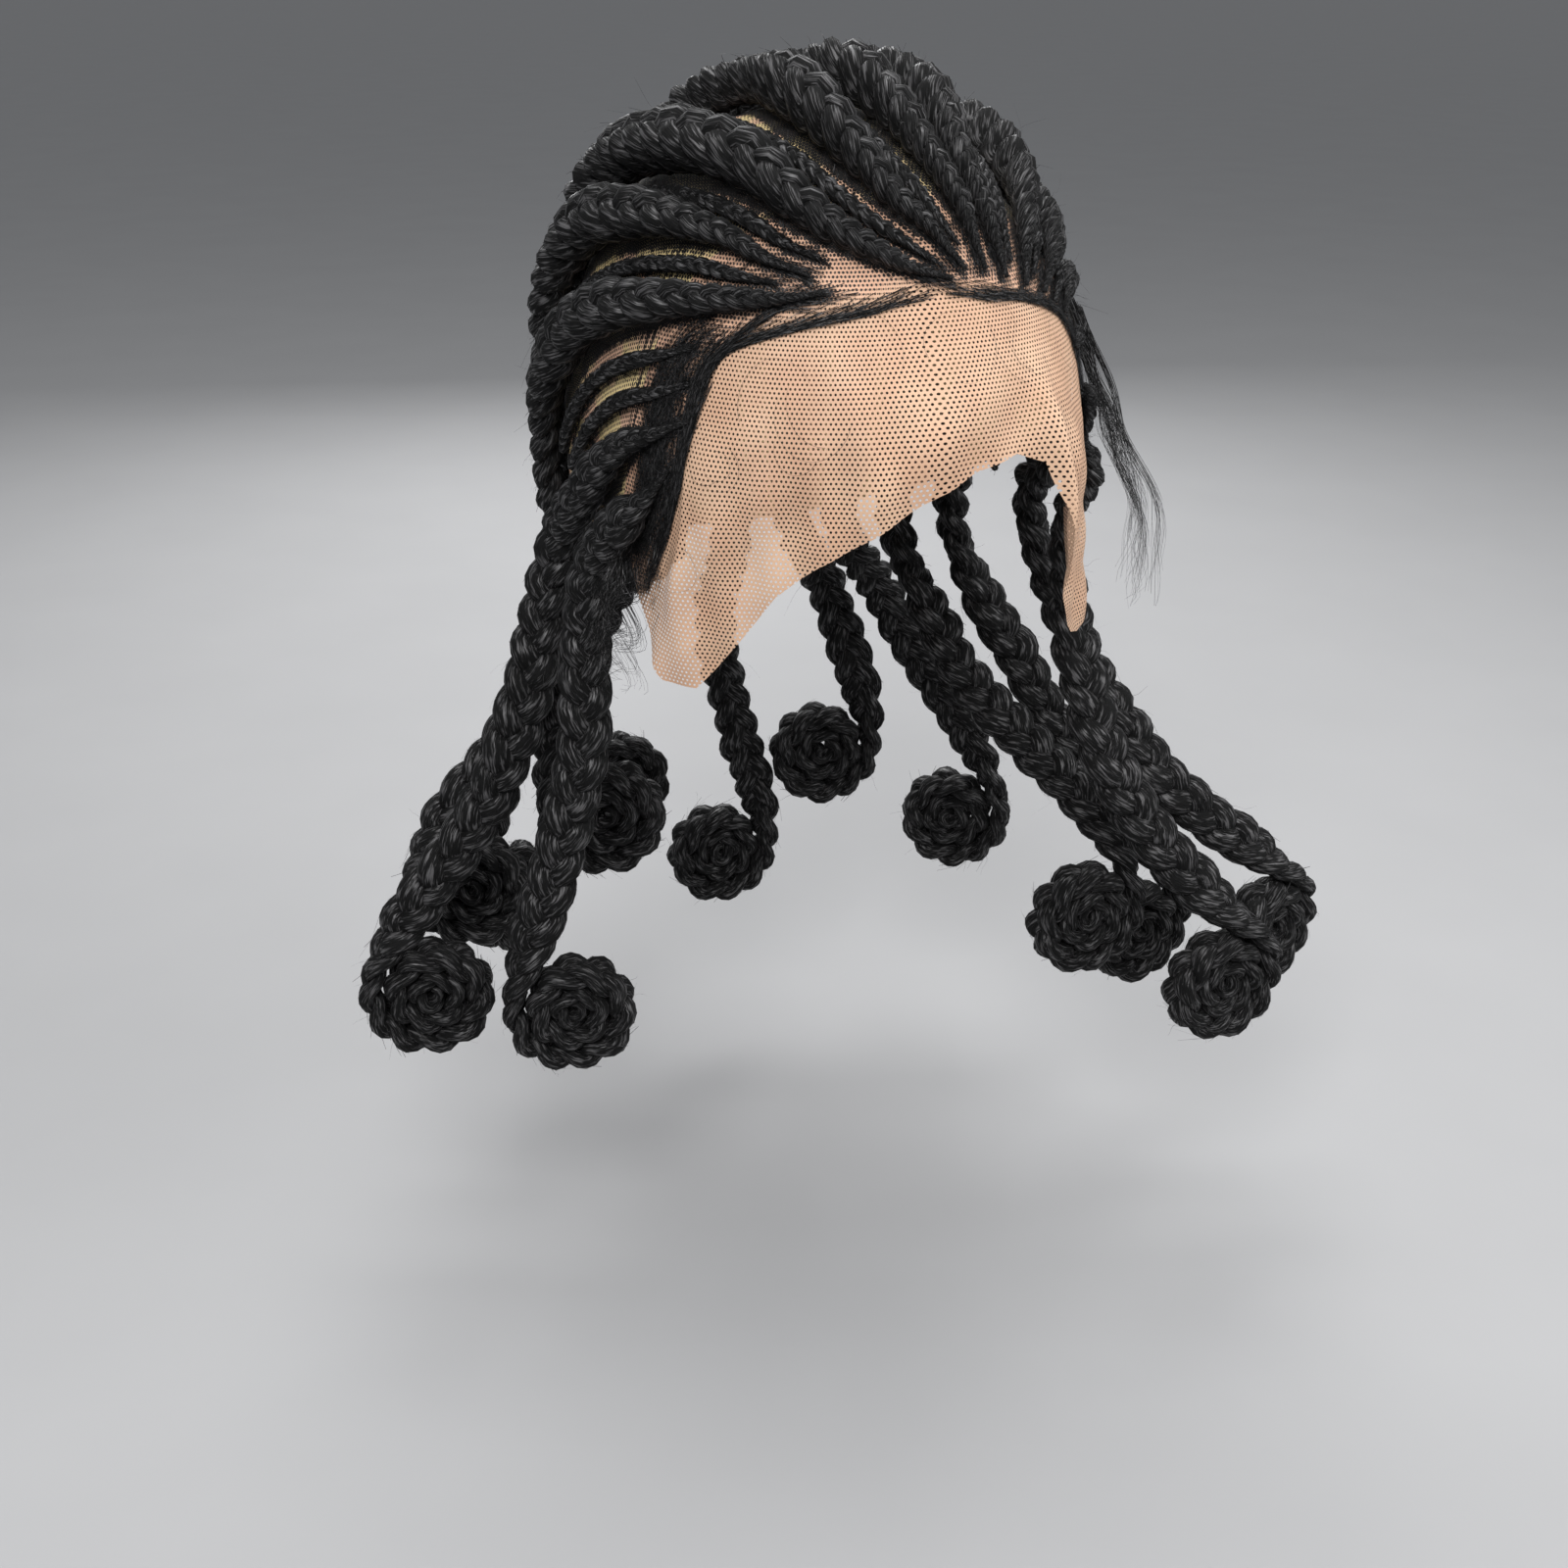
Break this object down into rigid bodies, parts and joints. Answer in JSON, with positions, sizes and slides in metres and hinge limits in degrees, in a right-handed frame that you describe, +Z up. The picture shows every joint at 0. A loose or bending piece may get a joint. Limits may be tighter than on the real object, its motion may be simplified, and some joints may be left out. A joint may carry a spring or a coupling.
{
  "type": "braid wig",
  "caption": "Lace-front wig of black cornrows on a net cap; thick rows hang on below the rim as plaited braids, each ending in a coiled bun.",
  "frame": {"origin": "the inside of the crown, where the wig sits on top of the head", "axes": "+Z up along the head, the face looks along -Y, the wearer's left is +X"},
  "size_m": [0.3427, 0.2126, 0.3448],
  "materials": {
    "hair": "satin black synthetic fibre",
    "net": "matt tan net",
    "lace": "matt skin-coloured lace"
  },
  "bodies": {
    "root": {"cap_net": "net", "front_lace": "lace", "braid_right_sideburn": "hair", "braid_right_temple": "hair", "braid_right_low": "hair", "braid_right_high": "hair", "braid_right_crown": "hair", "braid_back_right": "hair", "braid_back_middle": "hair", "braid_back_left": "hair", "braid_left_crown": "hair", "braid_left_high": "hair", "braid_left_low": "hair", "braid_left_temple": "hair", "braid_left_sideburn": "hair", "bun_right_sideburn": "hair", "bun_right_temple": "hair", "bun_right_low": "hair", "bun_right_high": "hair", "bun_right_crown": "hair", "bun_back_right": "hair", "bun_back_middle": "hair", "bun_back_left": "hair", "bun_left_crown": "hair", "bun_left_high": "hair", "bun_left_low": "hair", "bun_left_temple": "hair", "bun_left_sideburn": "hair", "thin_row_01": "hair", "thin_row_02": "hair", "thin_row_03": "hair", "thin_row_04": "hair", "thin_row_05": "hair", "thin_row_06": "hair", "thin_row_07": "hair", "thin_row_08": "hair", "thin_row_09": "hair", "thin_row_10": "hair", "thin_row_11": "hair"}
  },
  "joints": []
}
